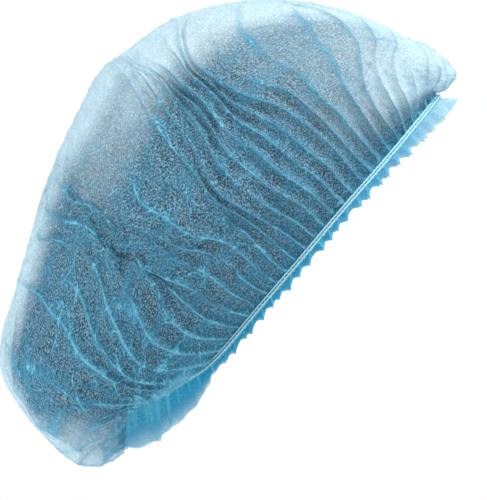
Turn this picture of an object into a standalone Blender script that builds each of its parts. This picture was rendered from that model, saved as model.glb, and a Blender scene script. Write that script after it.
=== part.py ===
"""Disposable hairnet in its worn form: a gathered nonwoven crown with a hair pouch at the nape,
a folded hem band, two elastic threads and a toothed ruffle.

Frame, in metres: +X forwards over the face, +Y to the wearer's left, +Z up.
The origin is the centre of the head opening.
"""

import math

import bmesh
import bpy
import numpy as np

# Overall sizes of the worn cap
CAP_LENGTH = 0.272
CAP_HEIGHT = 0.280
CAP_WIDTH = 0.200
WIDEST_HEM = 0.98  # the hem's width reaches at most this share of the crown's

# The elastic loop round the head, from the forehead to the nape
OPENING_LENGTH = 0.257
OPENING_WIDTH = 0.152
OPENING_TILT = math.radians(43.0)
OPENING_EGG = 0.06  # how much broader the loop is at the forehead than at the nape

# Cloth and elastic
CLOTH_WALL = 0.0010
BAND_WALL = 0.0014
BAND_HEIGHT = 0.0036
THREAD_DIAMETER = 0.0009
THREAD_SPACING = 0.0017
CLEARANCE = 0.0003

# Gathers
GATHERS = 76
GATHER_HEIGHT = 0.0026
GATHER_SWING = math.radians(26.0)  # how far a gather over the ear swings forwards on its way up
BACK_SWING = 0.6  # how much more the gathers behind the ear swing than those over it, as a share
GATHER_START = 0.045  # how far up a gather has its full height, as a share of the way to the middle
GATHER_FADE = 0.012  # gathers sink into the cloth this close to the middle plane
GATHER_LOSS = 0.75  # how much of its height a gather loses on its way to the middle, as a share
LOSS_POWER = 0.7  # below 1, most of that loss comes soon above the hem
SHORT_START = 0.2  # every second gather begins to fade here, as a share of the way to the middle
SHORT_END = 0.7  # and has gone here
UNEVEN_SHARE = 0.3  # how much higher or lower some gathers are than others at the hem, as a share
UNEVEN_WAVES = 3  # how often that changes round the loop

# Ruffle
RUFFLE_REACH = 0.0340
RUFFLE_WAVE = 0.0016
FLAP_WAVE = 0.0040
FLAP_FOLDS = 17  # folds of the plain flap, counted as if they went all round the loop
TOOTH_CUT = 0.60  # how deep the cut between two teeth is, as a share of the ruffle's width
TOOTH_POWER = 0.4  # below 1, the cut widens fastest near the hem, which makes the teeth slender

# Pinch, where the end of the cloth is gathered together at the nape
PINCH_DEPTH = 0.005
PINCH_RADIUS = 0.040
PINCH_START = 0.11  # how far up the hollow has its full depth, as a share of the way to the middle

# Fold of the crown that stands over the hem band, highest at the nape
HEM_ARCH = 0.0050
ARCH_RISE = 0.06  # how far up the fold is highest, as a share of the way to the middle
ARCH_LEAN = 0.5  # how far the fold leans outwards for each metre that it stands up

# A ridge and a valley for each gather
COLUMNS = GATHERS * 2
THREAD_POINTS = 72
HEM_SAMPLES = 2880  # steps in which the hem's length is measured
NORMAL_STEP = 0.001  # turn to either side, in radians, from which the hem's direction is taken

# Rings of points from the hem up: how far up each lies, as a share of the way to the middle
RINGS = (0.0, 0.045, 0.11, 0.19, 0.29, 0.41, 0.54, 0.69, 0.85, 1.0)
RUFFLE_RINGS = (0.0, 0.35, 0.7, 1.0)

# One row for each section, which runs from the elastic up over the head.
# along: the section's place on the elastic, 0 at the forehead and 1 at the nape
# top_x, top_z: where it meets the middle of the cap, as shares of CAP_LENGTH and CAP_HEIGHT
# full: how far it bellies out, as a share of half of CAP_WIDTH for its place on the loop
# belly: how far up it is widest, as a share of its height
# bow: how far it bends forwards and up, as a share of CAP_LENGTH
# arch: how far the cloth stands up and out from the hem before it turns over, as a share of HEM_ARCH
SECTION_COLUMNS = ("along", "top_x", "top_z", "full", "belly", "bow", "arch")
SECTIONS = (
    (0.000, 0.354, 0.402, 1.10, 0.40, 0.035, 0.8),
    (0.030, 0.259, 0.449, 1.12, 0.42, 0.040, 0.7),
    (0.070, 0.129, 0.502, 1.12, 0.44, 0.048, 0.5),
    (0.120, -0.056, 0.522, 1.10, 0.45, 0.050, 0.4),
    (0.180, -0.253, 0.473, 1.06, 0.44, 0.046, 0.4),
    (0.225, -0.334, 0.418, 1.04, 0.43, 0.042, 0.4),
    (0.270, -0.379, 0.389, 1.02, 0.42, 0.038, 0.4),
    (0.380, -0.434, 0.309, 1.00, 0.40, 0.022, 0.5),
    (0.500, -0.480, 0.219, 1.00, 0.40, 0.000, 0.6),
    (0.600, -0.520, 0.116, 1.00, 0.42, -0.020, 0.7),
    (0.700, -0.560, -0.020, 1.00, 0.45, -0.034, 0.8),
    (0.780, -0.610, -0.185, 1.04, 0.48, -0.034, 0.9),
    (0.812, -0.620, -0.250, 1.08, 0.49, -0.032, 1.0),
    (0.850, -0.587, -0.330, 1.12, 0.50, -0.028, 1.0),
    (0.910, -0.517, -0.414, 1.20, 0.50, -0.016, 1.0),
    (0.960, -0.440, -0.470, 1.26, 0.50, -0.008, 1.0),
    (0.988, -0.380, -0.466, 1.30, 0.50, -0.006, 1.0),
    (1.000, -0.346, -0.446, 1.30, 0.50, -0.006, 1.0),
)

# One row for each place on the elastic where the ruffle changes.
# dip: how far the elastic hangs below the straight line from forehead to nape, as a share of OPENING_LENGTH
# width: the ruffle's width, as a share of RUFFLE_REACH
# turn: the way it points in the side view, in degrees below straight ahead
# flare: how far its edge stands out sideways, as a share of its width
# teeth: 1 where it is cut into teeth and 0 where its edge is plain
RUFFLE_COLUMNS = ("along", "dip", "width", "turn", "flare", "teeth")
RUFFLE = (
    (0.00, 0.000, 0.30, 22.0, 0.00, 0.3),
    (0.10, 0.012, 0.27, 40.0, 0.08, 0.6),
    (0.20, 0.024, 0.21, 44.0, 0.13, 1.0),
    (0.33, 0.037, 0.18, 46.0, 0.16, 1.0),
    (0.50, 0.057, 0.17, 48.0, 0.16, 1.0),
    (0.65, 0.074, 0.16, 50.0, 0.14, 1.0),
    (0.74, 0.085, 0.15, 54.0, 0.12, 0.8),
    (0.80, 0.090, 0.17, 64.0, 0.14, 0.4),
    (0.88, 0.078, 0.47, 75.0, 0.20, 0.0),
    (0.95, 0.042, 0.84, 79.0, 0.22, 0.0),
    (1.00, 0.000, 0.98, 86.0, 0.10, 0.0),
)


def level_spline(knots, values, at):
    """Smooth curve through a table's rows, level at both ends, so that left and right meet without a kink."""
    knots = np.asarray(knots, float)
    values = np.asarray(values, float)
    step = np.diff(knots)
    slope = np.diff(values, axis=0) / step[:, None]
    count = len(knots)
    system = np.zeros((count, count))
    wanted = np.zeros_like(values)
    system[0, :2] = 2 * step[0], step[0]
    system[-1, -2:] = step[-1], 2 * step[-1]
    wanted[0] = 6 * slope[0]
    wanted[-1] = -6 * slope[-1]
    for i in range(1, count - 1):
        system[i, i - 1 : i + 2] = step[i - 1], 2 * (step[i - 1] + step[i]), step[i]
        wanted[i] = 6 * (slope[i] - slope[i - 1])
    bend = np.linalg.solve(system, wanted)
    at = np.asarray(at, float)
    i = np.clip(np.searchsorted(knots, at, side="right") - 1, 0, count - 2)
    width = step[i][..., None]
    far = (at - knots[i])[..., None] / width
    near = 1 - far
    straight = near * values[i] + far * values[i + 1]
    curved = ((near**3 - near) * bend[i] + (far**3 - far) * bend[i + 1]) * width**2 / 6
    return straight + curved


def looked_up(rows, names, turn):
    """The table's columns at each turn round the loop: 0 is the forehead and pi or -pi the nape."""
    rows = np.array(rows, float)
    knots = np.arccos(1 - 2 * rows[:, 0])
    found = level_spline(knots, rows[:, 1:], np.abs(turn))
    return dict(zip(names[1:], np.moveaxis(found, -1, 0)))


def hem_line(turn):
    """Middle line of the hem band at each turn round the loop."""
    ruffle = looked_up(RUFFLE, RUFFLE_COLUMNS, turn)
    ahead = OPENING_LENGTH / 2 * np.cos(turn)
    dip = ruffle["dip"] * OPENING_LENGTH
    x = ahead * math.cos(OPENING_TILT) + dip * math.sin(OPENING_TILT)
    z = ahead * math.sin(OPENING_TILT) - dip * math.cos(OPENING_TILT)
    y = OPENING_WIDTH / 2 * np.sin(turn) * (1 + OPENING_EGG * np.cos(turn))
    return np.stack([x, y, z], axis=-1)


def ruffle_way(turn):
    """Unit direction in which the ruffle leaves the hem band at each turn round the loop."""
    ruffle = looked_up(RUFFLE, RUFFLE_COLUMNS, turn)
    down = np.radians(ruffle["turn"])
    flare = ruffle["flare"] * np.sin(turn)
    way = np.stack([np.cos(down), flare, -np.sin(down)], axis=-1)
    return way / np.linalg.norm(way, axis=-1, keepdims=True)


def band_normals(turn):
    """Outward normals of the hem band, square to the loop and to the ruffle's way."""
    along = hem_line(turn + NORMAL_STEP) - hem_line(turn - NORMAL_STEP)
    normal = np.cross(ruffle_way(turn), along)
    return normal / np.linalg.norm(normal, axis=-1, keepdims=True)


def crown_form(turn, rise):
    """Plain form of the crown before gathers. Rise is 0 at the hem and 1 at the middle of the cap.
    Each section is two quarter ellipses that share their widest point, bent by its bow."""
    section = looked_up(SECTIONS, SECTION_COLUMNS, turn)
    start = hem_line(turn) - ruffle_way(turn) * (BAND_HEIGHT / 2 + CLEARANCE + CLOTH_WALL / 2)
    top_x = section["top_x"] * CAP_LENGTH
    top_z = section["top_z"] * CAP_HEIGHT
    across = np.stack([top_x - start[..., 0], top_z - start[..., 2]], axis=-1)
    height = np.linalg.norm(across, axis=-1)
    way = across / height[..., None]
    half_width = CAP_WIDTH / 2 * section["full"]
    hem_share = OPENING_WIDTH / 2 * (1 + OPENING_EGG * np.cos(turn)) / half_width
    first = -np.arccos(np.minimum(hem_share, WIDEST_HEM))
    angle = first + (math.pi / 2 - first) * rise
    widest = section["belly"] * height
    below = widest * (1 - np.sin(angle) / np.sin(first))
    above = widest + (height - widest) * np.sin(angle)
    gone = np.where(angle < 0, below, above)
    share = gone / height
    bow = section["bow"] * CAP_LENGTH * 4 * share * (1 - share)
    x = start[..., 0] + way[..., 0] * gone + way[..., 1] * bow
    z = start[..., 2] + way[..., 1] * gone - way[..., 0] * bow
    y = start[..., 1] * np.cos(angle) / np.cos(first)
    over = rise / ARCH_RISE * np.exp(1 - rise / ARCH_RISE) * section["arch"] * HEM_ARCH
    arch = (band_normals(turn) * ARCH_LEAN - ruffle_way(turn)) * over[..., None]
    return np.stack([x, y, z], axis=-1) + arch


def gathered_turns():
    """Turn of each column, evenly spaced along the hem's length, so that all gathers are equally wide."""
    fine = np.linspace(-math.pi, math.pi, HEM_SAMPLES + 1)
    line = hem_line(fine)
    steps = np.linalg.norm(np.diff(line, axis=0), axis=1)
    length = np.concatenate([[0], np.cumsum(steps)])
    even = np.arange(COLUMNS) / COLUMNS * length[-1]
    return np.interp(even, length, fine)


def swung(turn, rise):
    """Where a gather that starts at this turn has got to at each rise: it swings towards the forehead."""
    share = rise * rise * (3 - 2 * rise)
    most = np.sin(turn) * np.abs(np.sin(turn)) * (1 - BACK_SWING * np.cos(turn))
    return turn - GATHER_SWING * most * share


def grid_faces(columns, rows, first=0):
    """Quads of a grid that closes on itself round its columns. Vertex number is row * columns + column."""
    faces = []
    for row in range(rows - 1):
        for column in range(columns):
            beside = (column + 1) % columns
            low = first + row * columns
            high = low + columns
            faces.append((low + column, low + beside, high + beside, high + column))
    return faces


def normals_of(points, faces):
    """Vertex normals of a mesh, from the sum of its faces' normals."""
    sums = np.zeros_like(points)
    for face in faces:
        a, b, c, d = points[list(face)]
        normal = np.cross(c - a, d - b)
        for corner in set(face):
            sums[corner] += normal
    return sums / np.maximum(np.linalg.norm(sums, axis=1, keepdims=True), 1e-12)


def cloth_object(name, points, faces, wall, material):
    """A wall of cloth: an open surface with Solidify on both sides of it."""
    mesh = bpy.data.meshes.new(name)
    mesh.from_pydata([tuple(p) for p in points], [], faces)
    mesh.validate()
    solid = bpy.data.objects.new(name, mesh)
    collection.objects.link(solid)
    tidy = bmesh.new()
    tidy.from_mesh(mesh)
    bmesh.ops.remove_doubles(tidy, verts=tidy.verts, dist=1e-6)
    bmesh.ops.recalc_face_normals(tidy, faces=tidy.faces)
    tidy.to_mesh(mesh)
    tidy.free()
    thicken = solid.modifiers.new("wall", "SOLIDIFY")
    thicken.thickness = wall
    thicken.offset = 0.0
    thicken.use_even_offset = True
    thicken.thickness_clamp = 1.0
    mesh.shade_smooth()
    mesh.materials.append(material)
    return solid


def cloth_material(name, colour, roughness):
    """Plain spunbond cloth or elastic: the colour, the roughness and no metal."""
    material = bpy.data.materials.new(name)
    material.use_nodes = True
    shader = material.node_tree.nodes["Principled BSDF"]
    shader.inputs["Base Color"].default_value = (*colour, 1.0)
    shader.inputs["Roughness"].default_value = roughness
    shader.inputs["Metallic"].default_value = 0.0
    return material


def gather_relief(turn, rise, column, sideways):
    """Height of the gathers: alternate ridges and valleys, full near the hem and fading upwards.
    Every second gather fades sooner than its neighbours, and all fade at the middle plane."""
    side = np.where(column % 2 == 0, 1.0, -1.0)
    grown = np.clip(rise / GATHER_START, 0, 1)
    left = np.clip((SHORT_END - rise) / (SHORT_END - SHORT_START), 0, 1)
    short = np.where(column // 2 % 2 == 0, 1.0, left)
    uneven = 1 + UNEVEN_SHARE * np.sin(UNEVEN_WAVES * np.abs(turn) + 1) * (1 - rise)
    inside = np.clip(np.abs(sideways) / GATHER_FADE, 0, 1)
    lasting = 1 - GATHER_LOSS * rise**LOSS_POWER
    return GATHER_HEIGHT / 2 * side * grown * short * uneven * inside * lasting


def pinch_relief(points, rise):
    """Depth of the hollow round the place at the nape where the cloth is drawn together."""
    pinch = hem_line(np.array([math.pi]))[0]
    away = np.linalg.norm(points - pinch, axis=1) / PINCH_RADIUS
    grown = np.clip(rise / PINCH_START, 0, 1)
    return PINCH_DEPTH * np.exp(-(away**2)) * grown * (rise < 1)


def make_crown(turns, material):
    """The gathered bag. Its last ring lies on the middle plane, where left and right share vertices."""
    turn, rise = np.meshgrid(turns, RINGS)
    points = crown_form(swung(turn, rise), rise).reshape(-1, 3)
    faces = grid_faces(COLUMNS, len(RINGS))
    column = np.tile(np.arange(COLUMNS), len(RINGS))
    rise = rise.reshape(-1)
    relief = gather_relief(turn.reshape(-1), rise, column, points[:, 1]) - pinch_relief(points, rise)
    points = points + normals_of(points, faces) * relief[:, None]
    last = (len(RINGS) - 1) * COLUMNS
    middle = points[last:]
    twin = (-np.arange(COLUMNS)) % COLUMNS
    points[last:] = (middle + middle[twin]) / 2
    points[last:, 1] = 0.0
    return cloth_object("crown", points, faces, CLOTH_WALL, material)


def make_band(turns, material):
    """The folded hem, an even band all round the loop."""
    line = hem_line(turns)
    half = ruffle_way(turns) * BAND_HEIGHT / 2
    points = np.concatenate([line + half, line - half])
    return cloth_object("hem_band", points, grid_faces(COLUMNS, 2), BAND_WALL, material)


def make_thread(name, offset, material):
    """One elastic thread, a closed loop laid on the outer face of the hem band."""
    turns = -math.pi + np.arange(THREAD_POINTS) * math.tau / THREAD_POINTS
    stand = BAND_WALL / 2 + CLEARANCE + THREAD_DIAMETER / 2
    route = hem_line(turns) + ruffle_way(turns) * offset + band_normals(turns) * stand
    curve = bpy.data.curves.new(name, "CURVE")
    curve.dimensions = "3D"
    curve.bevel_depth = THREAD_DIAMETER / 2
    curve.bevel_resolution = 1
    spline = curve.splines.new("POLY")
    spline.points.add(THREAD_POINTS - 1)
    spline.points.foreach_set("co", np.column_stack([route, np.ones(THREAD_POINTS)]).ravel())
    spline.use_cyclic_u = True
    curve.materials.append(material)
    thread = bpy.data.objects.new(name, curve)
    collection.objects.link(thread)
    return thread


def make_ruffle(turns, material):
    """The gathered edge below the elastic: a wavy strip with a tooth on every other column."""
    turn, out = np.meshgrid(turns, RUFFLE_RINGS)
    table = looked_up(RUFFLE, RUFFLE_COLUMNS, turn)
    column = np.tile(np.arange(COLUMNS), (len(RUFFLE_RINGS), 1))
    side = np.where(column % 2 == 0, 1.0, -1.0)
    cut = 1 - TOOTH_CUT * table["teeth"] * (side < 0) * out**TOOTH_POWER
    reach = out * table["width"] * RUFFLE_REACH * cut
    start = BAND_HEIGHT / 2 + CLEARANCE + CLOTH_WALL / 2
    way = ruffle_way(turn)
    normal = band_normals(turn)
    small = RUFFLE_WAVE * side * table["teeth"]
    large = FLAP_WAVE * np.cos(FLAP_FOLDS * turn) * (1 - table["teeth"])
    lift = (small + large) * out
    points = hem_line(turn) + way * (start + reach)[..., None] + normal * lift[..., None]
    faces = grid_faces(COLUMNS, len(RUFFLE_RINGS))
    return cloth_object("ruffle", points.reshape(-1, 3), faces, CLOTH_WALL, material)


for old in list(bpy.data.objects):
    bpy.data.objects.remove(old, do_unlink=True)
collection = bpy.data.collections.new("hairnet")
bpy.context.scene.collection.children.link(collection)

nonwoven = cloth_material("blue_nonwoven", (0.28, 0.62, 0.80), 0.75)
folded = cloth_material("folded_nonwoven", (0.36, 0.72, 0.88), 0.70)
elastic = cloth_material("pale_elastic", (0.62, 0.86, 0.93), 0.55)

columns = gathered_turns()
make_crown(columns, nonwoven)
make_band(columns, folded)
make_thread("elastic_upper", -THREAD_SPACING / 2, elastic)
make_thread("elastic_lower", THREAD_SPACING / 2, elastic)
make_ruffle(columns, nonwoven)
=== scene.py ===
"""Disposable hairnet as worn: a gathered bag of sky-blue spunbond nonwoven with a pouch at the nape,
a folded hem with two stitched elastic threads, and a toothed ruffle that widens to a flap."""

import math

import bmesh
import bpy
import numpy as np
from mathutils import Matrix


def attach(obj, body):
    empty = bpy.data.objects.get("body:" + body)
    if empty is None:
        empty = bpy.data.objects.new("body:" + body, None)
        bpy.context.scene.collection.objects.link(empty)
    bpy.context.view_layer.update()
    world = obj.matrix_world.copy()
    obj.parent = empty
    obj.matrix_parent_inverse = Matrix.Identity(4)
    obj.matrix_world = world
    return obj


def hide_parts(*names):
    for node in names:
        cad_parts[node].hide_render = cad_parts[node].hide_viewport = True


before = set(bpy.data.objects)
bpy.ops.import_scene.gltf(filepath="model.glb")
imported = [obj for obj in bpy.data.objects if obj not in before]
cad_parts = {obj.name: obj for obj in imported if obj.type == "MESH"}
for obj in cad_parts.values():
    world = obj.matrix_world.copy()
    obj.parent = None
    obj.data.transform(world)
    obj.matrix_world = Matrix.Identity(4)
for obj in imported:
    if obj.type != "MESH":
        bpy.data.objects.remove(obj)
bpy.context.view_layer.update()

# Crown
# The real crown is one strip of thin spunbond nonwoven, drawn up into gathers along the elastic.
# Each gather leaves the hem as a sharp crease between two puffed flutes, swings forwards over the head
# and dies out at its own height, among the crumples of the loose cloth.
CAP_LENGTH = 0.272
CAP_HEIGHT = 0.280
CAP_WIDTH = 0.200
OPENING_LENGTH = 0.257
OPENING_WIDTH = 0.152
OPENING_TILT = math.radians(43.0)
OPENING_EGG = 0.06
HEM_SAMPLES = 5760
TURN_STEP = 0.001
HEM_TUCK = 0.0012
NARROWEST_HEM = 0.05
WIDEST_HEM = 0.98
HEM_ARCH = 0.0050
ARCH_RISE = 0.06
ARCH_LEAN = 0.5
GATHERS = 76
FLUTE_COLUMNS = 10
COLUMNS = GATHERS * FLUTE_COLUMNS
CROWN_RINGS = 130
RING_CROWDING = 1.15

# Sections from the elastic up over the head, in the frame's own shares:
# along the elastic, top_x, top_z, full, belly, bow and arch
SECTIONS = np.array([
    (0.000, 0.354, 0.402, 1.10, 0.40, 0.035, 0.8),
    (0.030, 0.259, 0.449, 1.12, 0.42, 0.040, 0.7),
    (0.070, 0.129, 0.502, 1.12, 0.44, 0.048, 0.5),
    (0.120, -0.056, 0.522, 1.10, 0.45, 0.050, 0.4),
    (0.180, -0.253, 0.473, 1.06, 0.44, 0.046, 0.4),
    (0.225, -0.334, 0.418, 1.04, 0.43, 0.042, 0.4),
    (0.270, -0.379, 0.389, 1.02, 0.42, 0.038, 0.4),
    (0.380, -0.434, 0.309, 1.00, 0.40, 0.022, 0.5),
    (0.500, -0.480, 0.219, 1.00, 0.40, 0.000, 0.6),
    (0.600, -0.520, 0.116, 1.00, 0.42, -0.020, 0.7),
    (0.700, -0.560, -0.020, 1.00, 0.45, -0.034, 0.8),
    (0.780, -0.610, -0.185, 1.04, 0.48, -0.034, 0.9),
    (0.812, -0.620, -0.250, 1.08, 0.49, -0.032, 1.0),
    (0.850, -0.587, -0.330, 1.12, 0.50, -0.028, 1.0),
    (0.910, -0.517, -0.414, 1.20, 0.50, -0.016, 1.0),
    (0.960, -0.440, -0.470, 1.26, 0.50, -0.008, 1.0),
    (0.988, -0.380, -0.466, 1.30, 0.50, -0.006, 1.0),
    (1.000, -0.346, -0.446, 1.30, 0.50, -0.006, 1.0),
])

# Places on the elastic where the ruffle changes: along, dip, width, turn, flare and teeth
RUFFLE = np.array([
    (0.00, 0.000, 0.30, 22.0, 0.00, 0.3),
    (0.10, 0.012, 0.27, 40.0, 0.08, 0.6),
    (0.20, 0.024, 0.21, 44.0, 0.13, 1.0),
    (0.33, 0.037, 0.18, 46.0, 0.16, 1.0),
    (0.50, 0.057, 0.17, 48.0, 0.16, 1.0),
    (0.65, 0.074, 0.16, 50.0, 0.14, 1.0),
    (0.74, 0.085, 0.15, 54.0, 0.12, 0.8),
    (0.80, 0.090, 0.17, 64.0, 0.14, 0.4),
    (0.88, 0.078, 0.47, 75.0, 0.20, 0.0),
    (0.95, 0.042, 0.84, 79.0, 0.22, 0.0),
    (1.00, 0.000, 0.98, 86.0, 0.10, 0.0),
])


def level_spline(knots, values, at):
    """Cubic spline through the rows, level at both ends, so that left and right halves meet smoothly."""
    step = np.diff(knots)
    slope = np.diff(values, axis=0) / step[:, None]
    count = len(knots)
    system = np.diag(np.concatenate([[2 * step[0]], 2 * (step[:-1] + step[1:]), [2 * step[-1]]]))
    system += np.diag(step, 1) + np.diag(step, -1)
    wanted = 6 * np.concatenate([slope[:1], np.diff(slope, axis=0), -slope[-1:]])
    bend = np.linalg.solve(system, wanted)
    i = np.clip(np.searchsorted(knots, at, side="right") - 1, 0, count - 2)
    width = step[i][..., None]
    far = (at - knots[i])[..., None] / width
    near = 1 - far
    curved = ((near**3 - near) * bend[i] + (far**3 - far) * bend[i + 1]) * width**2 / 6
    return near * values[i] + far * values[i + 1] + curved


def looked_up(rows, turn):
    """A table's columns at each turn round the loop, whose place on the elastic is (1 - cos turn) / 2."""
    knots = np.arccos(1 - 2 * rows[:, 0])
    return np.moveaxis(level_spline(knots, rows[:, 1:], np.abs(turn)), -1, 0)


def hem_line(turn):
    """The elastic's route: an egg of OPENING_LENGTH by OPENING_WIDTH, tilted, and sagging by its dip."""
    dip = looked_up(RUFFLE, turn)[0] * OPENING_LENGTH
    ahead = OPENING_LENGTH / 2 * np.cos(turn)
    x = ahead * math.cos(OPENING_TILT) + dip * math.sin(OPENING_TILT)
    z = ahead * math.sin(OPENING_TILT) - dip * math.cos(OPENING_TILT)
    y = OPENING_WIDTH / 2 * np.sin(turn) * (1 + OPENING_EGG * np.cos(turn))
    return np.stack([x, y, z], axis=-1)


def ruffle_way(turn):
    """Unit direction in which the ruffle leaves the hem: its turn below straight ahead, plus its flare."""
    _, _, down, flare, _ = looked_up(RUFFLE, turn)
    down = np.radians(down)
    way = np.stack([np.cos(down), flare * np.sin(turn), -np.sin(down)], axis=-1)
    return way / np.linalg.norm(way, axis=-1, keepdims=True)


def along_hem(turn):
    """A short step along the elastic, from TURN_STEP before each turn to TURN_STEP after it."""
    return hem_line(turn + TURN_STEP) - hem_line(turn - TURN_STEP)


def outward(turn):
    """Unit direction out of the hem's face: the ruffle's way crossed with the elastic's own direction."""
    normal = np.cross(ruffle_way(turn), along_hem(turn))
    return normal / np.linalg.norm(normal, axis=-1, keepdims=True)


def ramp(value, start, length):
    """0 up to start, and from there evenly up to 1 over length."""
    return np.clip((value - start) / length, 0, 1)


def bell(value, width, power=2):
    """1 at 0 and dying out on both sides: e to the power -(value / width) ** power."""
    return np.exp(-((value / width) ** power))


def hump(rise, top):
    """Up from 0 to 1 at top and slowly back: rise / top times e to the power 1 - rise / top."""
    return rise / top * np.exp(1 - rise / top)


def crown_form(turn, rise):
    """The crown without gathers: for each turn two quarter ellipses in rise, which share their widest
    point, bent forwards by a parabola and lifted off the hem by a small arch."""
    top_x, top_z, full, belly, bow, arch = looked_up(SECTIONS, turn)
    start = hem_line(turn) - ruffle_way(turn) * HEM_TUCK
    across = np.stack([top_x * CAP_LENGTH - start[..., 0], top_z * CAP_HEIGHT - start[..., 2]], axis=-1)
    height = np.linalg.norm(across, axis=-1)
    way = across / height[..., None]
    hem_share = OPENING_WIDTH * (1 + OPENING_EGG * np.cos(turn)) / (CAP_WIDTH * full)
    first = -np.arccos(np.clip(hem_share, NARROWEST_HEM, WIDEST_HEM))
    angle = first + (math.pi / 2 - first) * rise
    widest = belly * height
    below = widest * (1 - np.sin(angle) / np.sin(first))
    above = widest + (height - widest) * np.sin(angle)
    gone = np.where(angle < 0, below, above)
    bent = bow * CAP_LENGTH * 4 * gone / height * (1 - gone / height)
    x = start[..., 0] + way[..., 0] * gone + way[..., 1] * bent
    z = start[..., 2] + way[..., 1] * gone - way[..., 0] * bent
    y = start[..., 1] * np.cos(angle) / np.cos(first)
    over = hump(rise, ARCH_RISE) * arch * HEM_ARCH
    lift = outward(turn) * ARCH_LEAN - ruffle_way(turn)
    return np.stack([x, y, z], axis=-1) + lift * over[..., None]


def hem_lengths():
    """Turns from nape to nape in HEM_SAMPLES small steps, and the hem's length up to each of them."""
    turns = np.linspace(-math.pi, math.pi, HEM_SAMPLES + 1)
    steps = np.linalg.norm(np.diff(hem_line(turns), axis=0), axis=1)
    return turns, np.concatenate([[0], np.cumsum(steps)])


def even_turns(count):
    """Turns that divide the hem into equal lengths, the first of them at the nape."""
    turns, length = hem_lengths()
    return np.interp(np.arange(count) / count * length[-1], length, turns)


GATHER_SWING = math.radians(26.0)
BACK_SWING = 0.6


def swung(turn, rise):
    """Where a gather that starts at this turn has got to at each rise: it swings towards the forehead by
    GATHER_SWING sin turn |sin turn| (1 - BACK_SWING cos turn), eased in and out with rise."""
    most = np.sin(turn) * np.abs(np.sin(turn)) * (1 - BACK_SWING * np.cos(turn))
    return turn - GATHER_SWING * most * rise * rise * (3 - 2 * rise)


RIPPLE_SKEW = 0.2


def ripples(turn, rise, seed, waves, count=14):
    """Smooth unevenness, mostly from -1 to 1: a sum of waves cos(n turn + p) cos(m pi (1 - rise) + q sin
    turn). Waves holds the least and most n, which is whole, so that the sum closes round the loop, and
    the least and most m."""
    draw = np.random.default_rng(seed)
    total = 0.0
    for _ in range(count):
        n = draw.integers(waves[0], waves[1] + 1)
        m = draw.uniform(waves[2], waves[3])
        p, q = draw.uniform(0, math.tau, 2)
        up = np.cos(m * math.pi * (1 - rise) + q * np.sin(turn) * RIPPLE_SKEW)
        total = total + np.cos(n * turn + p) * up
    return total / math.sqrt(count)


CENTRE_RANGE = (0.05, 0.95)
CRUMPLE_SHARPNESS = 3


def crumples(along, up, cells, seed):
    """How near each point is to a crease of crumpled cloth, 1 on it and 0 a third of a cell away. Creases
    run where the nearest and the next nearest centre of a jittered grid of cells are equally far."""
    centres = np.random.default_rng(seed).uniform(*CENTRE_RANGE, (cells[1] + 4, cells[0], 2))
    x = along * cells[0]
    y = np.clip(up, 0, 1) * cells[1] + 1.5
    column = np.floor(x).astype(int)
    row = np.floor(y).astype(int)
    away = []
    for i, j in ((i, j) for i in (-1, 0, 1) for j in (-1, 0, 1)):
        centre = centres[row + j, (column + i) % cells[0]]
        away.append(np.hypot(column + i + centre[..., 0] - x, row + j + centre[..., 1] - y))
    away = np.sort(away, axis=0)
    return np.clip(1 - CRUMPLE_SHARPNESS * (away[1] - away[0]), 0, 1)


def grid_normals(points):
    """Normals of a grid of points that closes round its columns, from central differences."""
    round_way = np.roll(points, -1, axis=1) - np.roll(points, 1, axis=1)
    up_way = np.gradient(points, axis=0)
    normal = np.cross(round_way, up_way)
    return normal / np.maximum(np.linalg.norm(normal, axis=-1, keepdims=True), 1e-12)


STRIP_LENGTH = 1.40
STRIP_WIDTH = 0.245
MERGE_WITHIN = 1e-6


def cloth_piece(name, points, fold, painted_highlight, material):
    """A mesh from a grid of points (rings, columns, 3) that closes round its columns. Fold, from 0 to 1,
    says how doubled the cloth is, and on some creases and crests it also carries painted highlight. The
    next array, from 0 to 1, says how pale the cloth is painted as a highlight. The map named strip gives
    each point's place on the flat strip, in metres. Points that meet are merged, which closes the seams."""
    rings, columns, _ = points.shape
    number = np.arange(rings * columns).reshape(rings, columns)
    beside = np.roll(number, -1, axis=1)
    quads = np.stack([number[:-1], beside[:-1], beside[1:], number[1:]], axis=-1).reshape(-1, 4)
    mesh = bpy.data.meshes.new(name)
    mesh.from_pydata(points.reshape(-1, 3).tolist(), [], quads.tolist())
    for label, value in (("fold", fold), ("painted_highlight", painted_highlight)):
        flat = np.broadcast_to(value, (rings, columns)).ravel().astype(np.float32)
        mesh.attributes.new(label, "FLOAT", "POINT").data.foreach_set("value", flat)
    ring, column = np.meshgrid(np.arange(rings - 1), np.arange(columns), indexing="ij")
    along = np.stack([column, column + 1, column + 1, column], axis=-1) / columns * STRIP_LENGTH
    across = np.stack([ring, ring, ring + 1, ring + 1], axis=-1) / (rings - 1) * STRIP_WIDTH
    strip = mesh.uv_layers.new(name="strip")
    strip.data.foreach_set("uv", np.stack([along, across], axis=-1).ravel().astype(np.float32))
    tidy = bmesh.new()
    tidy.from_mesh(mesh)
    bmesh.ops.remove_doubles(tidy, verts=tidy.verts, dist=MERGE_WITHIN)
    bmesh.ops.recalc_face_normals(tidy, faces=tidy.faces)
    tidy.to_mesh(mesh)
    tidy.free()
    mesh.shade_smooth()
    mesh.materials.append(material)
    piece = bpy.data.objects.new(name, mesh)
    bpy.context.scene.collection.objects.link(piece)
    return piece


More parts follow.
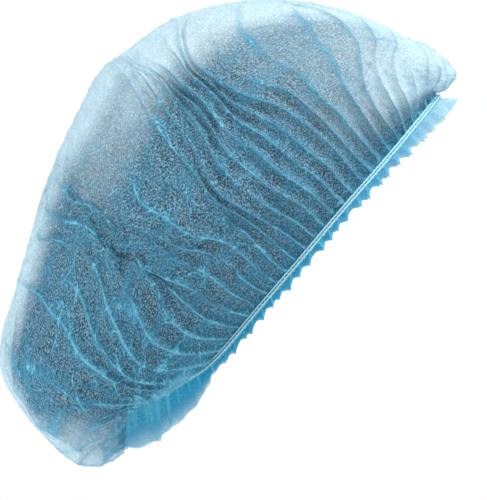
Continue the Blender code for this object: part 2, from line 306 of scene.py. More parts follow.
# Fibres, thin places and wrinkles of the cloth, counted to the metre along and across the strip
FIBRES = 1050.0
LONG_FIBRES = (560.0, 1300.0)
CLOUDS = (34.0, 60.0)
WIDE_WRINKLES = (44.0, 62.0)
FINE_WRINKLES = (95.0, 130.0)
WIDE_LINE = 0.035
FINE_LINE = 0.04
WRINKLE_WANDER = 1.1
WRINKLE_GAPS = 0.6
MOST_COVER = 0.97
CLOTH_ROUGHNESS = 0.70
CLOTH_SHEEN = 0.20
SHEEN_BLUE = (0.55, 0.85, 1.0, 1.0)
CLEAR_BLUE = (0.55, 0.88, 1.0, 1.0)
CLOTH_BUMP = 0.0006


def nonwoven(name, deep, white, pale, blue, bright, density, glow):
    """Spunbond nonwoven: a mat of fine white and blue fibres, which run mostly along the strip, over the
    deep colour between them; for the crown that deep colour is painted shade, the cap's dark inside seen
    through the gaps. Where the cloth is doubled in a fold the mat closes up to an even blue, with a
    bright line on the crease itself that is partly painted highlight, and where the mesh's painted
    highlight share is high the cloth is painted pale. Density is how much of the light the flat mat
    stops, and glow how much of that shines through it."""
    material = bpy.data.materials.new(name)
    material.use_nodes = True
    nodes = material.node_tree.nodes
    links = material.node_tree.links
    nodes.clear()
    uv_map = nodes.new("ShaderNodeUVMap")
    uv_map.uv_map = "strip"
    strip = uv_map.outputs["UV"]
    space = nodes.new("ShaderNodeTexCoord").outputs["Object"]

    def sum_of(a, b, gain):
        """a plus gain times b."""
        node = nodes.new("ShaderNodeMath")
        node.operation = "MULTIPLY_ADD"
        links.new(b, node.inputs[0])
        node.inputs[1].default_value = gain
        if isinstance(a, float):
            node.inputs[2].default_value = a
        else:
            links.new(a, node.inputs[2])
        return node.outputs[0]

    def product(a, b):
        """a times b."""
        node = nodes.new("ShaderNodeMath")
        node.operation = "MULTIPLY"
        links.new(a, node.inputs[0])
        links.new(b, node.inputs[1])
        return node.outputs[0]

    def counted(place, x, y, z=0.0):
        """A place in metres counted in features instead, so many to the metre each way."""
        node = nodes.new("ShaderNodeMapping")
        links.new(place, node.inputs["Vector"])
        node.inputs["Scale"].default_value = (x, y, z)
        return node.outputs["Vector"]

    def noise(place, detail, distortion=0.0):
        """A noise over a place that is counted in its features."""
        node = nodes.new("ShaderNodeTexNoise")
        links.new(place, node.inputs["Vector"])
        node.inputs["Scale"].default_value = 1.0
        node.inputs["Detail"].default_value = detail
        node.inputs["Distortion"].default_value = distortion
        return node.outputs["Fac"]

    def ranged(value, low, high, to_low=0.0, to_high=1.0):
        """Value's stretch from low to high mapped to to_low and to_high, and clamped."""
        node = nodes.new("ShaderNodeMapRange")
        links.new(value, node.inputs["Value"])
        node.inputs["From Min"].default_value = low
        node.inputs["From Max"].default_value = high
        node.inputs["To Min"].default_value = to_low
        node.inputs["To Max"].default_value = to_high
        return node.outputs["Result"]

    def wrinkles(along, across, width):
        """Thin creases: the borders of the cells of a wandering Voronoi pattern, with gaps in them."""
        place = counted(strip, along, across)
        sway = nodes.new("ShaderNodeTexNoise")
        links.new(place, sway.inputs["Vector"])
        sway.inputs["Scale"].default_value = 1.3
        sway.inputs["Detail"].default_value = 3.0
        wandering = nodes.new("ShaderNodeVectorMath")
        wandering.operation = "MULTIPLY_ADD"
        links.new(sway.outputs["Color"], wandering.inputs[0])
        wandering.inputs[1].default_value = (WRINKLE_WANDER, WRINKLE_WANDER, 0.0)
        links.new(place, wandering.inputs[2])
        cells = nodes.new("ShaderNodeTexVoronoi")
        cells.voronoi_dimensions = "2D"
        cells.feature = "DISTANCE_TO_EDGE"
        cells.inputs["Scale"].default_value = 1.0
        links.new(wandering.outputs["Vector"], cells.inputs["Vector"])
        lines = ranged(cells.outputs["Distance"], 0.0, width, 1.0, 0.0)
        sparse = noise(counted(strip, along * WRINKLE_GAPS, across * WRINKLE_GAPS), 1.0)
        return product(lines, ranged(sparse, 0.40, 0.56))

    def attribute(label):
        """The mesh's own value of that name at each point."""
        node = nodes.new("ShaderNodeAttribute")
        node.attribute_name = label
        return node.outputs["Fac"]

    def mixed(a, b, share):
        """Colour or socket a turned into b by share."""
        node = nodes.new("ShaderNodeMix")
        node.data_type = "RGBA"
        links.new(share, node.inputs["Factor"])
        for side, value in (("A", a), ("B", b)):
            if isinstance(value, tuple):
                node.inputs[side].default_value = (*value, 1.0)
            else:
                links.new(value, node.inputs[side])
        return node.outputs["Result"]

    # Fibres, thin places and wrinkles, and how far the painted highlight fades the blue of the folds
    fibres = ranged(noise(counted(space, FIBRES, FIBRES, FIBRES), 2.0, 0.6), 0.485, 0.60)
    fine_fibres = ranged(noise(counted(strip, *LONG_FIBRES), 1.0), 0.47, 0.60)
    clouds = ranged(noise(counted(strip, *CLOUDS), 3.0), 0.40, 0.66)
    wide_wrinkles = wrinkles(*WIDE_WRINKLES, WIDE_LINE)
    creases = sum_of(wide_wrinkles, wrinkles(*FINE_WRINKLES, FINE_LINE), 0.6)
    painted_highlight = attribute("painted_highlight")
    folds_kept = ranged(painted_highlight, 0.0, 1.0, 1.0, 0.42)

    # Colour: the mat from deep, which for the crown is painted shade, to white, bluer in clouds, painted
    # pale under the painted highlight, blue in the folds and partly painted highlight on their creases
    speckle = sum_of(sum_of(0.0, fibres, 0.44), fine_fibres, 0.28)
    doubling = product(sum_of(attribute("fold"), creases, 0.90), folds_kept)
    fold = ranged(product(doubling, sum_of(0.74, speckle, 0.60)), 0.0, 1.0)
    mat = mixed(deep, white, ranged(sum_of(speckle, clouds, 0.04), 0.0, 1.0))
    mat = mixed(mat, blue, ranged(clouds, 0.0, 1.0, 0.0, 0.34))
    # Painted highlight: the mat is turned to the pale tone where the mesh's highlight share is high
    mat = mixed(mat, pale, ranged(product(painted_highlight, sum_of(0.84, speckle, 0.4)), 0.0, 1.0))
    doubled = mixed(blue, bright, ranged(fold, 0.42, 0.95))
    tone = mixed(mat, doubled, ranged(fold, 0.04, 0.68, 0.0, 0.86))

    # Cover: more of the light is stopped by fibres and in folds, and less under the painted highlight
    stopped = sum_of(sum_of(density, speckle, 0.25), fold, 0.45)
    cover = ranged(sum_of(stopped, painted_highlight, -0.32), 0.0, MOST_COVER)

    bump = nodes.new("ShaderNodeBump")
    bump.inputs["Strength"].default_value = 0.45
    bump.inputs["Distance"].default_value = CLOTH_BUMP
    links.new(sum_of(creases, speckle, 0.5), bump.inputs["Height"])

    face = nodes.new("ShaderNodeBsdfPrincipled")
    links.new(tone, face.inputs["Base Color"])
    links.new(bump.outputs["Normal"], face.inputs["Normal"])
    face.inputs["Roughness"].default_value = CLOTH_ROUGHNESS
    face.inputs["Sheen Weight"].default_value = CLOTH_SHEEN
    face.inputs["Sheen Tint"].default_value = SHEEN_BLUE
    face.inputs["Sheen Roughness"].default_value = 0.30
    face.inputs["Specular IOR Level"].default_value = 0.15
    through = nodes.new("ShaderNodeBsdfTranslucent")
    links.new(tone, through.inputs["Color"])
    clear = nodes.new("ShaderNodeBsdfTransparent")
    clear.inputs["Color"].default_value = CLEAR_BLUE
    lit = nodes.new("ShaderNodeMixShader")
    lit.inputs[0].default_value = glow
    links.new(face.outputs[0], lit.inputs[1])
    links.new(through.outputs[0], lit.inputs[2])
    whole = nodes.new("ShaderNodeMixShader")
    links.new(cover, whole.inputs[0])
    links.new(clear.outputs[0], whole.inputs[1])
    links.new(lit.outputs[0], whole.inputs[2])
    links.new(whole.outputs[0], nodes.new("ShaderNodeOutputMaterial").inputs["Surface"])
    return material


# How a gather wanders sideways on its way up: how many gathers' breadths, seed, and waves
WANDERS = (
    (1.3, 5, (2, 9, 0.5, 3)),
    (0.5, 9, (14, 34, 0.3, 2)),
    (0.16, 19, (3, 10, 6, 14)),
)
WANDER_START = 0.03
WANDER_EASE = 0.25
WANDER_END = 0.2


def plain_crown(turn, rise):
    """The crown without gathers, at turns that follow them: each one swings, and wanders by a sum of
    ripples that is held still at the hem, at the top, at the forehead and at the nape."""
    free = ramp(rise, WANDER_START, WANDER_EASE) * ramp(1 - rise, 0, WANDER_END)
    wander = sum(share * ripples(turn, rise, seed, waves) for share, seed, waves in WANDERS)
    pitch = math.tau / GATHERS
    return crown_form(swung(turn + wander * free * pitch * np.sin(turn), rise), rise)


# Gathers: their creases, how far up they last, and how blue their doubled cloth is, with painted
# highlight on the crease line
GATHER_HEIGHT = 0.0035
GATHER_START = 0.012
GATHER_FADE = 0.012
CREASE_SHARPNESS = 0.6
CREASE_MIDDLE = 0.35
FLATTER_ABOVE = 0.66
SHORTEST_GATHER = 0.16
GATHER_RANGE = 0.95
BACK_GATHERS = 0.2
BACK_TURN = 2.1
BACK_EASE = 0.5
LASTING_EASE = 0.12
LEAST_GATHER = 0.12
FLUTE_FOLD = 0.42
CREASE_FOLD_AND_HIGHLIGHT = 0.55
PINCH_FOLD = 0.62
HEM_FOLD = 0.42
HEM_FOLD_RISE = 0.022


def gathered(turn, rise, plain, pinch):
    """Relief and fold of the gathers. A crease is 1 - sin(pi phase) ** CREASE_SHARPNESS, with phase from
    0 to 1 across a flute. It grows from the hem, is uneven, ends at a random height, which is greater
    behind, and fades at the middle of the cap. Near the pinch and the hem all cloth lies in folds. The
    sharp line on the raised crease is partly doubled cloth and partly painted highlight."""
    column = np.arange(COLUMNS)
    phase = column % FLUTE_COLUMNS / FLUTE_COLUMNS
    crease = 1 - np.sin(math.pi * phase) ** CREASE_SHARPNESS
    draw = np.random.default_rng(31)
    ends = (SHORTEST_GATHER + GATHER_RANGE * draw.uniform(0, 1, GATHERS) ** 0.9)[column // FLUTE_COLUMNS]
    ends = ends + BACK_GATHERS * ramp(np.abs(turn), BACK_TURN, BACK_EASE)
    lasting = np.clip((ends - rise) / LASTING_EASE + 1, LEAST_GATHER, 1)
    uneven = np.clip(1 + 0.5 * ripples(turn, rise, 6, (8, 30, 2, 7)), 0.15, 2.0)
    grown = ramp(rise, 0, GATHER_START)
    inside = np.clip(np.abs(plain[..., 1]) / GATHER_FADE, 0.05, 1)
    size = lasting * uneven * grown * inside
    relief = GATHER_HEIGHT * size * (crease - CREASE_MIDDLE) * (1 - FLATTER_ABOVE * rise**0.8)
    strength = np.clip(1.05 + 0.9 * ripples(turn, rise, 16, (20, 60, 3, 9)), 0.25, 1.6)
    # The sharp crease ** 5 term is partly doubled cloth and partly painted highlight on the raised crease
    line = FLUTE_FOLD * crease**1.3 + CREASE_FOLD_AND_HIGHLIGHT * crease**5
    fold = np.clip(size * strength, 0, 1) * line * (1 - 0.35 * rise)
    near_pinch = PINCH_FOLD * pinch**0.6 * np.clip(crease * 2.2, 0, 1)
    fold += near_pinch + HEM_FOLD * np.exp(-rise / HEM_FOLD_RISE)
    return relief, fold


# Crumples of the loose cloth: cells round the loop and up the rise, and their height
CRUMPLE_CELLS = (76, 15)
CRUMPLE_HEIGHT = 0.0018
CRUMPLE_FOLD = 0.80
CRUMPLE_START = 0.15
FRONT_SHARE = 0.30


def crumpled(turn, rise):
    """Relief and fold of the crumples, in patches, and stronger towards the back. Their pattern is
    shifted by ripples, so that its rows don't show."""
    back = (1 - np.cos(turn)) / 2
    loose = ramp(rise, 0, CRUMPLE_START) * (FRONT_SHARE + (1 - FRONT_SHARE) * back)
    shift = 0.004 * ripples(turn, rise, 13, (6, 20, 1, 4))
    creased = crumples(turn / math.tau + shift, rise + 3 * shift, CRUMPLE_CELLS, 17)
    patchy = np.clip(0.55 + 0.8 * ripples(turn, rise, 14, (3, 14, 1, 4)), 0, 1)
    return CRUMPLE_HEIGHT * creased * patchy * loose, CRUMPLE_FOLD * creased**4 * patchy * loose


# Pinch at the nape, where the strip's end is drawn together, and the folds that fan out from it
PINCH_DEPTH = 0.005
PINCH_RADIUS = 0.040
PINCH_START = 0.11
SPOKES = 11
SPOKE_REACH = 1.7
SPOKE_HEIGHT = 0.0030
SPOKE_WANDER = 0.35
SPOKE_FOLD = 0.75
SPOKE_LINE = 0.45


def fanned(turn, rise, from_pinch, away):
    """Relief and fold of the fan: the cosine of SPOKES times the bearing from the pinch, made uneven by
    ripples. It dies out with the distance away, as a bell, and towards the top."""
    bearing = np.arctan2(from_pinch[..., 2], from_pinch[..., 0])
    bearing = bearing + SPOKE_WANDER * ripples(turn, rise, 25, (3, 12, 2, 7))
    spoke = 0.5 + 0.5 * np.cos(SPOKES * bearing)
    near = bell(away, SPOKE_REACH) * ramp(1 - rise, 0, 0.25)
    relief = SPOKE_HEIGHT * spoke**2 * near * ramp(rise, 0, GATHER_START)
    return relief, (SPOKE_FOLD * spoke**4 + SPOKE_LINE * spoke**24) * near**0.7


# Painted highlight: the cloth is painted pale, as if lit, over the top ahead of the ears, at the brow,
# along the ridge and at the low part of the pouch. Each has its start, its ease and its share.
TOP_START = 0.53
TOP_EASE = 0.16
TOP_SHARE = 0.95
EAR_TURN = 2.0
EAR_EASE = 0.6
BROW_TURN = 0.80
BROW_START = 0.02
BROW_EASE = 0.12
BROW_SHARE = 1.10
RIDGE_START = 0.72
RIDGE_EASE = 0.16
RIDGE_SHARE = 1.20
POUCH_START = 0.098
POUCH_EASE = 0.030
POUCH_SHARE = 0.75


def painted_highlight_places(turn, rise, plain):
    """Share of painted highlight, from 0 to 1: the sum of its four places' shares, in patches."""
    top = ramp(rise, TOP_START, TOP_EASE) * ramp(EAR_TURN - np.abs(turn), 0, EAR_EASE)
    brow = bell(turn, BROW_TURN, 4) * ramp(rise, BROW_START, BROW_EASE)
    ridge = ramp(rise, RIDGE_START, RIDGE_EASE) ** 1.3
    pouch = ramp(-plain[..., 2], POUCH_START, POUCH_EASE)
    patches = 1 + 0.35 * ripples(turn, rise, 15, (2, 14, 1, 6))
    places = TOP_SHARE * top + BROW_SHARE * brow + RIDGE_SHARE * ridge + POUCH_SHARE * pouch
    return np.clip(places * patches, 0, 1)


BILLOW = 0.0016
BILLOW_START = 0.25
CRINKLE = 0.00025
HALVES_MEET = 0.12
OVERHANG_OUT = 0.0060
OVERHANG_DOWN = 0.0085
OVERHANG_TURN = math.radians(139.0)
OVERHANG_SPREAD = math.radians(22.0)
OVERHANG_RISE = 0.06
OVERHANG_FOLD = 0.80


def crown_grid():
    """The crown's points: its plain form, raised along its normals by gathers, crumples, billows,
    crinkles and the fan of folds, pulled in at the pinch, and hung over the hem behind the ear. At the
    top both halves take the same relief and meet in the middle. Returns points, fold and the share of
    painted highlight."""
    column = np.arange(COLUMNS)
    turn, rise = np.meshgrid(even_turns(COLUMNS), np.linspace(0, 1, CROWN_RINGS) ** RING_CROWDING)
    plain = plain_crown(turn, rise)
    from_pinch = plain - hem_line(np.array([math.pi]))
    away = np.linalg.norm(from_pinch, axis=-1) / PINCH_RADIUS
    pinch = bell(away, 1)

    relief, fold = gathered(turn, rise, plain, pinch)
    crumple_relief, crumple_fold = crumpled(turn, rise)
    fan_relief, fan_fold = fanned(turn, rise, from_pinch, away)
    relief += crumple_relief
    billows = BILLOW * ripples(turn, rise, 7, (5, 15, 2, 6))
    relief += billows * ramp(rise, 0, BILLOW_START) * (1 - 0.8 * rise**4)
    relief += CRINKLE * ripples(turn, rise, 8, (50, 110, 12, 40), 30) * ramp(rise, 0, GATHER_START)
    relief -= PINCH_DEPTH * pinch * ramp(rise, 0, PINCH_START) * ramp(1 - rise, 0, 0.3)
    relief += fan_relief
    fold += crumple_fold
    fold += fan_fold

    twin = relief[:, (-column) % COLUMNS]
    apart = ramp(1 - rise, 0, HALVES_MEET)
    relief = (relief + twin) / 2 + (relief - twin) / 2 * apart
    points = plain + grid_normals(plain) * relief[..., None]

    behind = bell(np.abs(turn) - OVERHANG_TURN, OVERHANG_SPREAD)
    hung = behind * hump(rise, OVERHANG_RISE)
    out = outward(turn) * (hung * OVERHANG_OUT)[..., None]
    points += out + ruffle_way(turn) * (hung * OVERHANG_DOWN)[..., None]
    fold += OVERHANG_FOLD * hung**1.5

    points[-1] = (points[-1] + points[-1, (-column) % COLUMNS]) / 2
    points[-1, :, 1] = 0.0
    return points, np.clip(fold, 0, 1), painted_highlight_places(turn, rise, plain)


# The crown's deep colour is painted shade: the near-black between its fibres stands for the cap's shaded
# inside seen through the gaps. The pale colour is the tone of the painted highlight.
MAT_GAP_SHADE = (0.002, 0.030, 0.066)
MAT_WHITE = (0.48, 0.77, 0.92)
MAT_HIGHLIGHT_PALE = (0.90, 0.97, 0.99)
MAT_BLUE = (0.020, 0.270, 0.450)
MAT_BRIGHT = (0.26, 0.70, 0.88)
crown_cloth = nonwoven(
    "crown_nonwoven",
    MAT_GAP_SHADE,
    MAT_WHITE,
    MAT_HIGHLIGHT_PALE,
    MAT_BLUE,
    MAT_BRIGHT,
    density=0.78,
    glow=0.30,
)
crown = cloth_piece("crown_cloth", *crown_grid(), crown_cloth)
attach(crown, "root")
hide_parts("crown")

# Hem band
# The strip's edge is folded over and stitched down on the elastic, so the cloth lies double there,
# is bluer and is puckered by the stitches.
BAND_HEIGHT = 0.0036
BAND_WALL = 0.0014
PUCKER = 0.00035
PUCKER_COLUMNS = 4


def carried(profile, turn, middle):
    """A closed profile carried round the hem. Its columns are outwards and along the ruffle's way, in
    metres, and middle is where its own centre lies in the same two directions."""
    out = profile[..., 0] + middle[0]
    down = profile[..., 1] + middle[1]
    return hem_line(turn) + outward(turn) * out[..., None] + ruffle_way(turn) * down[..., None]


def band_grid(sides=14):
    """A flattened round of BAND_WALL by BAND_HEIGHT round the hem, with a cosine of PUCKER that has one
    wave to PUCKER_COLUMNS columns. Returns points, fold and a share of painted highlight, here none."""
    column = np.arange(COLUMNS)
    angle = np.arange(sides + 1) * math.tau / sides
    turn, angle = np.meshgrid(even_turns(COLUMNS), angle)
    wave = column * math.tau / PUCKER_COLUMNS
    pucker = PUCKER * np.cos(wave + ripples(turn, 0 * turn, 11, (5, 20, 0, 1)))
    out = np.sign(np.cos(angle)) * np.abs(np.cos(angle)) ** 0.6 * (BAND_WALL / 2 + pucker * 0.5)
    down = np.sign(np.sin(angle)) * np.abs(np.sin(angle)) ** 0.8 * (BAND_HEIGHT / 2 + pucker * 0.4)
    points = carried(np.stack([out, down], axis=-1), turn, (0.0, 0.0))
    return points, 0.7 + 0.3 * np.cos(wave) * np.ones_like(turn), np.zeros_like(turn)


HEM_BLUE = (0.14, 0.54, 0.72)
HEM_BRIGHT = (0.34, 0.76, 0.90)
double_cloth = nonwoven(
    "folded_nonwoven",
    MAT_BLUE,
    MAT_WHITE,
    MAT_HIGHLIGHT_PALE,
    HEM_BLUE,
    HEM_BRIGHT,
    density=0.85,
    glow=0.35,
)
hem_band = cloth_piece("hem_band_cloth", *band_grid(), double_cloth)
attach(hem_band, "root")
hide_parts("hem_band")

# Elastic threads
# Two pale rubber threads wrapped in fine yarn lie side by side along the hem's outer face, stretched
# as worn and held there by the stitches.
THREAD_DIAMETER = 0.0009
THREAD_SPACING = 0.0017
CLEARANCE = 0.0003
NIP = 0.14
NIP_COLUMNS = 8
RUBBER_BLUE = (0.34, 0.72, 0.86, 1.0)
RUBBER_PALE = (0.58, 0.87, 0.94, 1.0)


def thread_grid(offset, sides=10):
    """A round thread carried along the hem's outer face, nipped by a squared cosine that has one wave to
    NIP_COLUMNS columns. Returns points, fold and a share of painted highlight, here none."""
    turn, angle = np.meshgrid(even_turns(COLUMNS * 2), np.arange(sides + 1) * math.tau / sides)
    nip = 1 - NIP * (0.5 + 0.5 * np.cos(np.arange(COLUMNS * 2) * math.tau / NIP_COLUMNS)) ** 2
    radius = THREAD_DIAMETER / 2 * nip
    profile = np.stack([np.cos(angle) * radius, np.sin(angle) * radius], axis=-1)
    stand = BAND_WALL / 2 + CLEARANCE + THREAD_DIAMETER / 2
    return carried(profile, turn, (stand, offset)), np.zeros_like(turn), np.zeros_like(turn)


def wrapped_rubber(name):
    """Pale rubber wrapped in yarn: fine bands round the thread over a cool white, a little glossy."""
    material = bpy.data.materials.new(name)
    material.use_nodes = True
    nodes = material.node_tree.nodes
    links = material.node_tree.links
    shader = nodes["Principled BSDF"]
    place = nodes.new("ShaderNodeTexCoord").outputs["Object"]
    wrap = nodes.new("ShaderNodeTexWave")
    wrap.bands_direction = "DIAGONAL"
    wrap.inputs["Scale"].default_value = 900.0
    wrap.inputs["Distortion"].default_value = 2.0
    links.new(place, wrap.inputs["Vector"])
    blotch = nodes.new("ShaderNodeTexNoise")
    blotch.inputs["Scale"].default_value = 300.0
    links.new(place, blotch.inputs["Vector"])
    tone = nodes.new("ShaderNodeMix")
    tone.data_type = "RGBA"
    tone.inputs["A"].default_value = RUBBER_BLUE
    tone.inputs["B"].default_value = RUBBER_PALE
    links.new(blotch.outputs["Fac"], tone.inputs["Factor"])
    links.new(tone.outputs["Result"], shader.inputs["Base Color"])
    bump = nodes.new("ShaderNodeBump")
    bump.inputs["Strength"].default_value = 0.4
    bump.inputs["Distance"].default_value = 0.0001
    links.new(wrap.outputs["Fac"], bump.inputs["Height"])
    links.new(bump.outputs["Normal"], shader.inputs["Normal"])
    shader.inputs["Roughness"].default_value = 0.45
    shader.inputs["Sheen Weight"].default_value = 0.2
    return material


rubber = wrapped_rubber("wrapped_elastic")
for thread_name, offset in (("elastic_upper", -THREAD_SPACING / 2), ("elastic_lower", THREAD_SPACING / 2)):
    thread = cloth_piece(thread_name + "_thread", *thread_grid(offset), rubber)
    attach(thread, "root")
    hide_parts(thread_name)

# Elastic stitches
# A zigzag of fine pale-blue sewing thread crosses both elastic threads and holds them on the hem.
# It is sewn by machine, with one stitch to every three millimetres.
STITCH_PITCH = 0.0030
STITCH_DIAMETER = 0.00034
STITCH_LEAN = 0.42
STITCH_FLATNESS = 1.35
STITCH_OVERLAP = 1.05
THREAD_BLUE = (0.38, 0.74, 0.87, 1.0)
THREAD_PALE = (0.62, 0.89, 0.95, 1.0)


def stitch_mesh(points_each=7, sides=5):
    """Short arcs over the two threads, one for each STITCH_PITCH of the loop and leaning alternately.
    Each is a tube whose middle line is a half sine across the band, cut off flat over the threads."""
    length = hem_lengths()[1][-1]
    count = int(length / STITCH_PITCH / 2) * 2
    step = math.tau / count
    along = np.linspace(-1, 1, points_each)
    side_of = np.where(np.arange(count) % 2 == 0, 1.0, -1.0)[:, None]
    turn = even_turns(count)[:, None] + side_of * along[None, :] * STITCH_LEAN * step
    stand = BAND_WALL / 2 + CLEARANCE + THREAD_DIAMETER + STITCH_DIAMETER * 0.6
    low = BAND_WALL / 2 + STITCH_DIAMETER * 0.5
    out = low + (stand - low) * np.clip(STITCH_FLATNESS * np.cos(along * math.pi / 2), 0, 1)
    down = along * (THREAD_SPACING / 2 + THREAD_DIAMETER * STITCH_OVERLAP)
    angle = np.arange(sides) * math.tau / sides
    ring_out = out[None, :, None] + np.cos(angle) * STITCH_DIAMETER / 2
    side = np.sin(angle) * STITCH_DIAMETER / 2
    turn = np.broadcast_to(turn[:, :, None], (count, points_each, sides))
    around = along_hem(turn)
    around /= np.linalg.norm(around, axis=-1, keepdims=True)
    points = hem_line(turn) + outward(turn) * ring_out[..., None] + around * side[None, None, :, None]
    points = points + ruffle_way(turn) * down[None, :, None, None]
    number = np.arange(count * points_each * sides).reshape(count, points_each, sides)
    beside = np.roll(number, -1, axis=2)
    tube = np.stack([number[:, :-1], beside[:, :-1], beside[:, 1:], number[:, 1:]], axis=-1).reshape(-1, 4)
    caps = np.concatenate([number[:, 0, ::-1], number[:, -1, :]]).tolist()
    mesh = bpy.data.meshes.new("elastic_stitches")
    mesh.from_pydata(points.reshape(-1, 3).tolist(), [], tube.tolist() + caps)
    return mesh


def sewing_thread(name):
    """Matt pale-blue sewing thread, with the fine flecks of its twist."""
    material = bpy.data.materials.new(name)
    material.use_nodes = True
    nodes = material.node_tree.nodes
    links = material.node_tree.links
    shader = nodes["Principled BSDF"]
    twist = nodes.new("ShaderNodeTexNoise")
    twist.inputs["Scale"].default_value = 1600.0
    tone = nodes.new("ShaderNodeMix")
    tone.data_type = "RGBA"
    tone.inputs["A"].default_value = THREAD_BLUE
    tone.inputs["B"].default_value = THREAD_PALE
    links.new(nodes.new("ShaderNodeTexCoord").outputs["Object"], twist.inputs["Vector"])
    links.new(twist.outputs["Fac"], tone.inputs["Factor"])
    links.new(tone.outputs["Result"], shader.inputs["Base Color"])
    shader.inputs["Roughness"].default_value = 0.7
    return material


stitches = bpy.data.objects.new("elastic_stitches", stitch_mesh())
bpy.context.scene.collection.objects.link(stitches)
stitches.data.materials.append(sewing_thread("sewing_thread"))
stitches.data.shade_smooth()
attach(stitches, "root")

# Ruffle
# Beyond the elastic the strip's edge stands out in pointed pleats like a row of teeth. At the nape the
# same edge is wider and hangs as a soft flared flap, with folds that spread from the pinch.
RUFFLE_REACH = 0.0340
RUFFLE_RINGS = 30
RUFFLE_WAVE = 0.0016
TOOTH_CUT = 0.62
TOOTH_LENGTHS = (-0.16, 0.16)
TOOTH_LEAN = (0.10, 0.55)
TOOTH_CURL = 0.0008
RAGGED = 0.02
BROW_SPREAD = 0.75
BROW_WAVE = 0.3
FLAP_WAVE = 0.0042
FLAP_FOLDS = 17
FLAP_RAYS = 46
RAY_RANGE = 14
RAY_HEIGHT = 0.0018
NAPE_LEAN = 0.0028
NAPE_SPREAD = 0.45
NAPE_CALM = 0.8


def ruffle_points(turn, out, width, teeth, valley, rays, waves, soft):
    """Points of a strip that leaves the hem along the ruffle's way. Each gather ends in one tooth, whose
    length and lean are chosen at random, alike on both sides of the cap. The pleats are raised by
    1 - 2 valley, and the flap by waves that deepen towards its edge and calm down at the nape, where it
    leans back."""
    column = np.arange(COLUMNS)
    gather = (column + FLUTE_COLUMNS // 2) // FLUTE_COLUMNS % GATHERS
    pair = np.minimum(gather, GATHERS - gather)
    draw = np.random.default_rng(21)
    long = 1 + draw.uniform(*TOOTH_LENGTHS, GATHERS)[pair]
    leaning = draw.uniform(*TOOTH_LEAN, GATHERS)[pair]
    cut = 1 - TOOTH_CUT * teeth * valley * out**0.4
    ragged = 1 + RAGGED * ripples(turn, 0 * turn, 23, (30, 70, 0, 0)) * (1 - teeth)
    reach = out * width * RUFFLE_REACH * cut * (1 + (long - 1) * teeth) * ragged
    depth = np.clip(teeth + BROW_WAVE * soft, 0, 1) * (0.35 + 0.65 * out)
    pleats = RUFFLE_WAVE * (1 - 2 * valley) * depth
    loose = FLAP_WAVE * waves * (1 - teeth) * out
    loose = loose + RAY_HEIGHT * rays * (1 - teeth) * out**0.6
    nape = bell(math.pi - np.abs(turn), NAPE_SPREAD)
    loose = loose * (1 - NAPE_CALM * nape)
    curl = TOOTH_CURL * teeth * out**3
    lean = leaning * teeth * out * math.tau / GATHERS * np.sin(turn)
    points = hem_line(turn + lean) + ruffle_way(turn) * (BAND_HEIGHT / 2 + reach)[..., None]
    points = points + outward(turn) * (pleats + loose + curl)[..., None]
    points[..., 0] -= NAPE_LEAN * nape * np.sin(0.6 * math.pi * out)
    return points


def ruffle_grid():
    """The ruffle's points, and its fold and share of painted highlight. The cloth is doubled in the middle
    of a tooth, in the flap near the hem and on the thin rays where a ripple of FLAP_RAYS waves crosses
    its line. On the crests of the FLAP_FOLDS waves the fold carries painted highlight. The ruffle is
    painted pale as a highlight at the forehead and more and more towards the flap's edge."""
    column = np.arange(COLUMNS)
    turn, out = np.meshgrid(even_turns(COLUMNS), np.linspace(0, 1, RUFFLE_RINGS))
    _, width, _, _, teeth = looked_up(RUFFLE, turn)
    teeth = np.clip(teeth, 0, 1)
    phase = (column + FLUTE_COLUMNS / 2) % FLUTE_COLUMNS / FLUTE_COLUMNS * 2 - 1
    valley = np.abs(phase) ** 0.7
    soft = bell(turn, BROW_SPREAD)
    rays = ripples(turn, 0 * turn, 24, (FLAP_RAYS - RAY_RANGE, FLAP_RAYS + RAY_RANGE, 0, 0))
    waves = np.cos(FLAP_FOLDS * turn + 0.8 * rays)
    points = ruffle_points(turn, out, width, teeth, valley, rays, waves, soft)

    tooth_fold = teeth * (0.30 + 0.75 * (1 - valley) ** 3)
    # The rays are doubled creases; the tenth power of the FLAP_FOLDS waves is painted highlight on their
    # raised crests
    ray_line = np.clip(1 - 2.2 * np.abs(rays - 0.2), 0, 1) ** 2 + np.clip(waves, 0, 1) ** 10
    behind = ramp(np.abs(turn), 2.2, 0.5)
    skirt = (0.30 + 0.45 * behind) * bell(out, 0.75, 4)
    flap_fold = (1 - teeth) * (1 - 0.6 * soft) * (skirt + 0.80 * ray_line * (1 - 0.5 * out) + 0.04)
    # Painted highlight: the ruffle is painted pale towards the flap's edge and at the forehead
    painted_highlight = 0.55 * out**3 * (1 - teeth) + 0.20 * out**2 + 0.85 * soft
    return points, np.clip(tooth_fold + flap_fold, 0, 1), np.clip(painted_highlight, 0, 1)


RUFFLE_DEEP = (0.000, 0.300, 0.520)
RUFFLE_BLUE = (0.000, 0.380, 0.660)
RUFFLE_WHITE = (0.16, 0.62, 0.84)
RUFFLE_BRIGHT = (0.20, 0.72, 0.90)
ruffle_cloth = nonwoven(
    "ruffle_nonwoven",
    RUFFLE_DEEP,
    RUFFLE_WHITE,
    MAT_HIGHLIGHT_PALE,
    RUFFLE_BLUE,
    RUFFLE_BRIGHT,
    density=0.66,
    glow=0.50,
)
ruffle = cloth_piece("ruffle_cloth", *ruffle_grid(), ruffle_cloth)
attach(ruffle, "root")
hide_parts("ruffle")

# Stage, light and camera
# A pale floor well below the cap, which is held up as on a head, with soft light from above and in front.
# The camera looks square at the cap's right side from far off, and one pixel is PIXEL metres at the cap.
PIXEL = 0.0006
PHOTO_WIDTH = 487
PHOTO_HEIGHT = 500
ORIGIN_PIXEL = (281, 244)
CAMERA_AWAY = 6.0
SENSOR = 36.0
SKY_LIGHT = 0.44
LIGHT_AIM = (-0.02, 0.0, 0.0)
FLOOR_LEVEL = -0.34
FLOOR_SIDE = 2.0
FLOOR_FRONT = -4.0
FLOOR_BACK = 2.0
FLOOR_GREY = (0.86, 0.87, 0.88, 1.0)

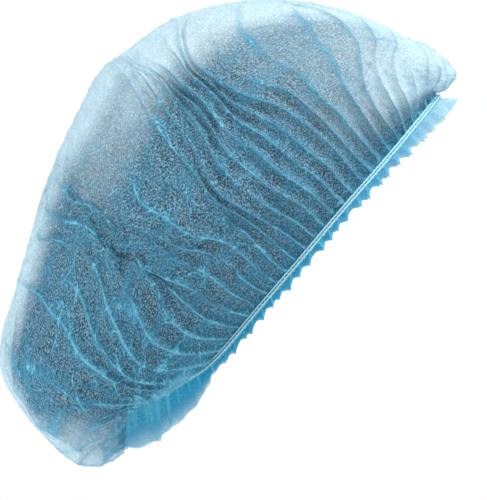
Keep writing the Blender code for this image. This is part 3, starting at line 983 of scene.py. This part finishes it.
floor_corners = [
    (-FLOOR_SIDE, FLOOR_FRONT, FLOOR_LEVEL),
    (FLOOR_SIDE, FLOOR_FRONT, FLOOR_LEVEL),
    (FLOOR_SIDE, FLOOR_BACK, FLOOR_LEVEL),
    (-FLOOR_SIDE, FLOOR_BACK, FLOOR_LEVEL),
]
floor_mesh = bpy.data.meshes.new("floor")
floor_mesh.from_pydata(floor_corners, [], [(0, 1, 2, 3)])
floor = bpy.data.objects.new("floor", floor_mesh)
bpy.context.scene.collection.objects.link(floor)
floor_paint = bpy.data.materials.new("floor_paint")
floor_paint.use_nodes = True
floor_shader = floor_paint.node_tree.nodes["Principled BSDF"]
floor_shader.inputs["Base Color"].default_value = FLOOR_GREY
floor_shader.inputs["Roughness"].default_value = 0.8
floor_mesh.materials.append(floor_paint)

world = bpy.data.worlds.new("studio")
world.use_nodes = True
bpy.context.scene.world = world
sky = world.node_tree.nodes["Background"]
sky.inputs["Color"].default_value = (1.0, 1.0, 1.0, 1.0)
seen = world.node_tree.nodes.new("ShaderNodeLightPath").outputs["Is Camera Ray"]
strength = world.node_tree.nodes.new("ShaderNodeMapRange")
strength.inputs["To Min"].default_value = SKY_LIGHT
strength.inputs["To Max"].default_value = 1.0
world.node_tree.links.new(seen, strength.inputs["Value"])
world.node_tree.links.new(strength.outputs["Result"], sky.inputs["Strength"])


def softbox(name, place, aim, size, power):
    """A square area light at place, turned to aim."""
    light = bpy.data.lights.new(name, "AREA")
    light.shape = "SQUARE"
    light.size = size
    light.energy = power
    box = bpy.data.objects.new(name, light)
    bpy.context.scene.collection.objects.link(box)
    box.location = place
    ahead = np.array(aim, float) - np.array(place, float)
    box.rotation_euler = (
        math.atan2(math.hypot(ahead[0], ahead[1]), -ahead[2]),
        0.0,
        math.atan2(-ahead[0], ahead[1]),
    )


softbox("key", place=(1.0, -0.7, 1.7), aim=LIGHT_AIM, size=0.7, power=54.0)
softbox("fill", place=(-1.8, -0.5, 0.0), aim=LIGHT_AIM, size=0.9, power=24.0)

camera_data = bpy.data.cameras.new("camera")
camera_data.lens = SENSOR * CAMERA_AWAY / (PHOTO_HEIGHT * PIXEL)
camera_data.sensor_width = SENSOR
camera = bpy.data.objects.new("camera", camera_data)
bpy.context.scene.collection.objects.link(camera)
camera.location = (
    (PHOTO_WIDTH / 2 - ORIGIN_PIXEL[0]) * PIXEL,
    -CAMERA_AWAY,
    (ORIGIN_PIXEL[1] - PHOTO_HEIGHT / 2) * PIXEL,
)
camera.rotation_euler = (math.pi / 2, 0.0, 0.0)
bpy.context.scene.camera = camera
bpy.context.scene.view_settings.view_transform = "Standard"
